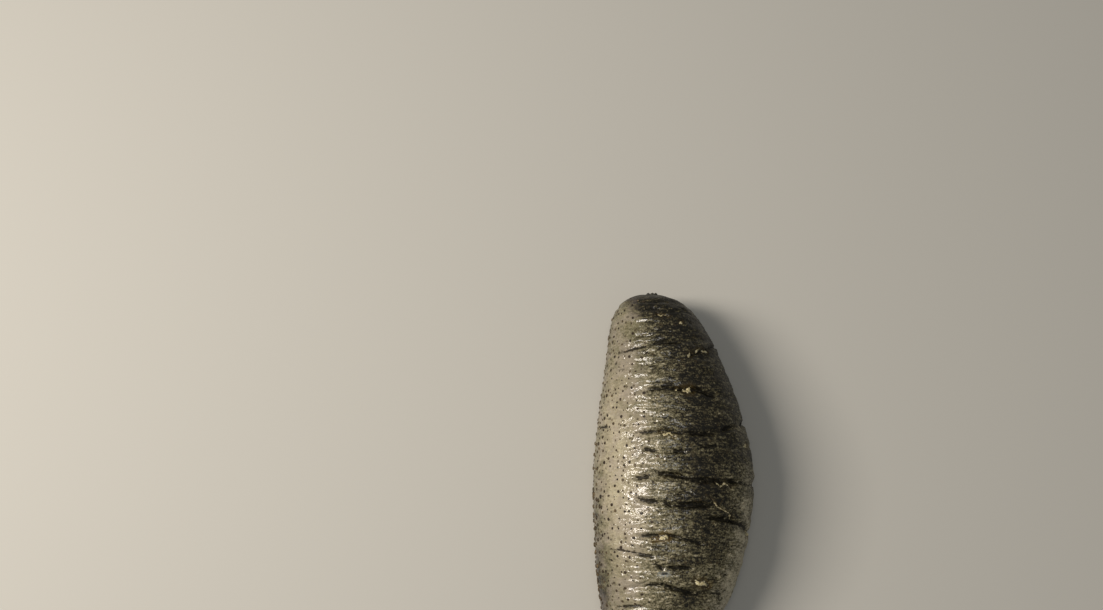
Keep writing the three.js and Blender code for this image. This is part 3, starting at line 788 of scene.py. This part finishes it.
def papilla_skin():
    """Papillae: near black like the vent's skin, with thinner, paler tips."""
    material, tree, shader = new_material("vent_papilla_skin")
    place = add(tree, "TexCoord").outputs["Object"]
    along = add(tree, "SeparateXYZ", Vector=place).outputs["Y"]
    tip = add(tree, "MapRange", Value=along, From_Min=VENT_TIP * MM, From_Max=(VENT_TIP + 1.2) * MM)
    cloud = add(tree, "TexNoise", Vector=place, Scale=scale_for(0.8), Detail=2)
    tone = weighted_sum(tree, 0, (tip, 0.6), (cloud, 0.4))
    colour = add(tree, "ValToRGB", stops=[(0.2, "#120e08"), (0.5, "#2e2717"), (0.8, "#6d6248")], i0=tone)
    wire(shader, Base_Color=colour, Roughness=0.45, Coat_Weight=0.5, Coat_Roughness=0.15)
    return material


ring_of_papillae = papillae()
ring_of_papillae.data.materials.append(papilla_skin())
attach(ring_of_papillae, "root")


# Floor. A plain pale floor lies under the animal, matt like emulsion paint. It is only the stage, wide
# enough to fill the picture from every side.
FLOOR_SIZE = 4.0 / MM
corners = np.array([[-1, -1, 0], [1, -1, 0], [1, 1, 0], [-1, 1, 0]]) * FLOOR_SIZE / 2
floor = mesh_object("floor", corners, [[0, 1, 2, 3]], smooth=False)
floor_paint, _, floor_shader = new_material("pale_floor_paint")
wire(floor_shader, Base_Color="#b6b4ac", Roughness=0.8)
floor.data.materials.append(floor_paint)
floor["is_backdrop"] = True


# Light. Soft daylight comes from the left, as from a window, and a weaker light from above fills the shade.
# The room round them is a dim, even grey.
LIT_POINT = Vector((0, 0, 0.02))  # metres, in the middle of the body


def light(name, place, size, power, colour):
    """Rectangular lamp of a size in metres at a place, turned to face the lit point."""
    lamp = bpy.data.lights.new(name, "AREA")
    lamp.shape = "RECTANGLE"
    lamp.size, lamp.size_y = size
    lamp.energy = power
    lamp.color = linear(colour)[:3]
    holder = bpy.data.objects.new(name, lamp)
    bpy.context.collection.objects.link(holder)
    holder.location = place
    direction = LIT_POINT - Vector(place)
    holder.rotation_euler = direction.to_track_quat("-Z", "Y").to_euler()


light("window", (-0.73, 0.05, 0.78), (0.25, 0.55), 11.0, "#fff6ec")
light("ceiling", (-0.1, 0.05, 1.4), (0.4, 0.4), 2.8, "#f6f5f3")
room = bpy.data.worlds.new("room")
room.use_nodes = True
wire(room.node_tree.nodes["Background"], Color="#e8ebee", Strength=0.2)
bpy.context.scene.world = room
bpy.context.scene.view_settings.view_transform = "Standard"


# Camera. It is held over the animal and looks steeply down and along it, with a short normal lens. Values
# that end in PX are in the photo's pixels, and AIM_PX is where the middle of the body's axis lies in it.
IMAGE_WIDTH_PX, IMAGE_HEIGHT_PX, FOCAL_PX = 1103, 610, 1160
AIM_PX = (673, 481)
PITCH, HEADING = np.radians(78), np.radians(1.25)
DEPTH = 0.511  # metres along the view from the lens to that point
SENSOR_WIDTH = 36
lean = np.pi / 2 - PITCH
ray = np.array([AIM_PX[0] - IMAGE_WIDTH_PX / 2, IMAGE_HEIGHT_PX / 2 - AIM_PX[1], -FOCAL_PX]) / FOCAL_PX
view = Matrix.Rotation(HEADING, 3, "Z") @ Matrix.Rotation(lean, 3, "X")
camera_data = bpy.data.cameras.new("camera")
camera_data.sensor_width = SENSOR_WIDTH
camera_data.lens = FOCAL_PX / IMAGE_WIDTH_PX * SENSOR_WIDTH
camera = bpy.data.objects.new("camera", camera_data)
bpy.context.collection.objects.link(camera)
camera.location = np.array([0, 0, AXIS_HEIGHT * MM]) - np.array(view) @ ray * DEPTH
camera.rotation_euler = (lean, 0, HEADING)
bpy.context.scene.camera = camera
